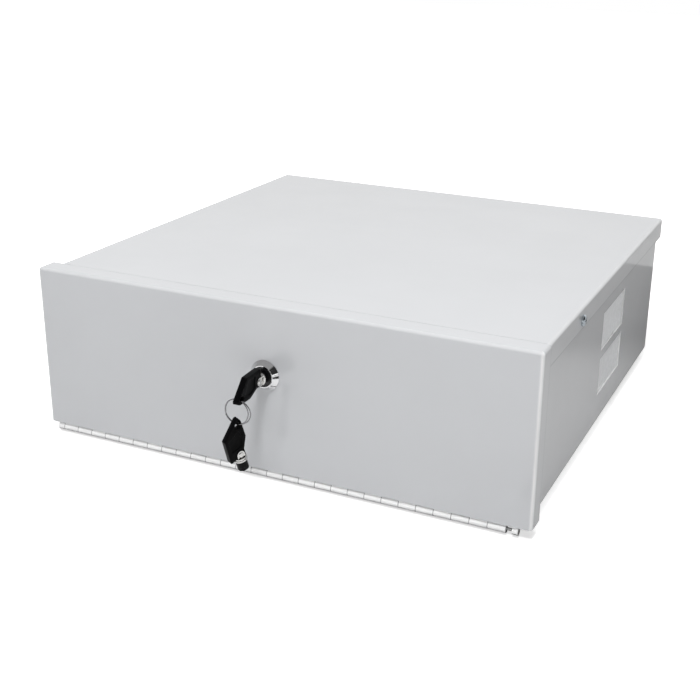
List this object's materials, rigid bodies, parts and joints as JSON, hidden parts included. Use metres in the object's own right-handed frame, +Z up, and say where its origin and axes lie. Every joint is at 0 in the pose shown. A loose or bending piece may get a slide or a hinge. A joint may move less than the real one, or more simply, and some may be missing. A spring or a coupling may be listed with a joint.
{
  "type": "lockbox",
  "caption": "Shallow sheet-metal lockbox with a drop-down front door on a piano hinge, a tubular cam lock, keys on a split ring and side vents.",
  "frame": {"origin": "centre of the bolt-down hole pattern, in the plane of the base's underside", "axes": "+X to the right seen from the door, +Y from the door to the back, +Z up"},
  "size_m": [0.3823, 0.4025, 0.13],
  "materials": {
    "body_paint": "glossy light-grey powder coat",
    "hinge_paint": "off-white coated rolled steel",
    "bright_zinc": "bright zinc plate",
    "pin_steel": "bare drawn wire",
    "filter_felt": "light-grey filter felt",
    "black_rubber": "moulded, matt",
    "lock_chrome": "polished chrome plate",
    "plug_brass": "machined",
    "plug_black": "black nickel, satin",
    "key_nickel": "nickel plate",
    "barrel_black": "black nickel, satin",
    "bow_plastic": "black, moulded, semi-gloss",
    "ring_wire": "nickel-plated spring wire"
  },
  "bodies": {
    "cabinet": {"base_floor": "body_paint", "left_wall": "body_paint", "right_wall": "body_paint", "back_wall": "body_paint", "top_cover": "body_paint", "cover_screws": "bright_zinc", "rivet_nuts": "bright_zinc", "vent_filter": "filter_felt", "filter_rails": "body_paint", "rubber_feet": "black_rubber", "foot_screws": "bright_zinc", "foot_nuts": "bright_zinc", "cable_grommet": "black_rubber", "hinge_cabinet_leaf": "hinge_paint", "hinge_pin": "pin_steel"},
    "door": {"door_panel": "body_paint", "door_bumpers": "black_rubber", "hinge_door_leaf": "hinge_paint", "lock_housing": "lock_chrome", "lock_washer": "bright_zinc", "lock_nut": "bright_zinc"},
    "plug": {"lock_plug": "plug_brass", "lock_pins": "pin_steel", "plug_face": "plug_black", "stop_washer": "bright_zinc", "lock_cam": "bright_zinc", "cam_washer": "bright_zinc", "cam_screw": "bright_zinc"},
    "key": {"key_barrel": "barrel_black", "key_collar": "key_nickel", "key_bow": "bow_plastic", "key_rivet": "key_nickel"},
    "ring": {"split_ring": "ring_wire"},
    "spare_key": {"spare_key_barrel": "barrel_black", "spare_key_collar": "key_nickel", "spare_key_bow": "bow_plastic", "spare_key_rivet": "key_nickel"}
  },
  "joints": [
    {"name": "door_hinge", "type": "hinge", "parent": "cabinet", "child": "door", "pos_m": [0, -0.177, -0.0056], "axis": [1, 0, 0], "range_deg": [0, 90]},
    {"name": "plug_turn", "type": "hinge", "parent": "door", "child": "plug", "pos_m": [-0.0063, -0.18, 0.0702], "axis": [0, -1, 0], "range_deg": [0, 90]},
    {"name": "key_slide", "type": "slide", "parent": "plug", "child": "key", "axis": [0, -1, 0], "range_m": [0, 0.03]},
    {"name": "ring_swing", "type": "hinge", "parent": "key", "child": "ring", "pos_m": [-0.0063, -0.2142, 0.0656], "axis": [1, 0, 0], "range_deg": [-30, 8]},
    {"name": "spare_swing", "type": "hinge", "parent": "ring", "child": "spare_key", "pos_m": [-0.0093, -0.2142, 0.04665], "axis": [0.8993, -0.431, -0.0746], "range_deg": [-30, 8]}
  ]
}
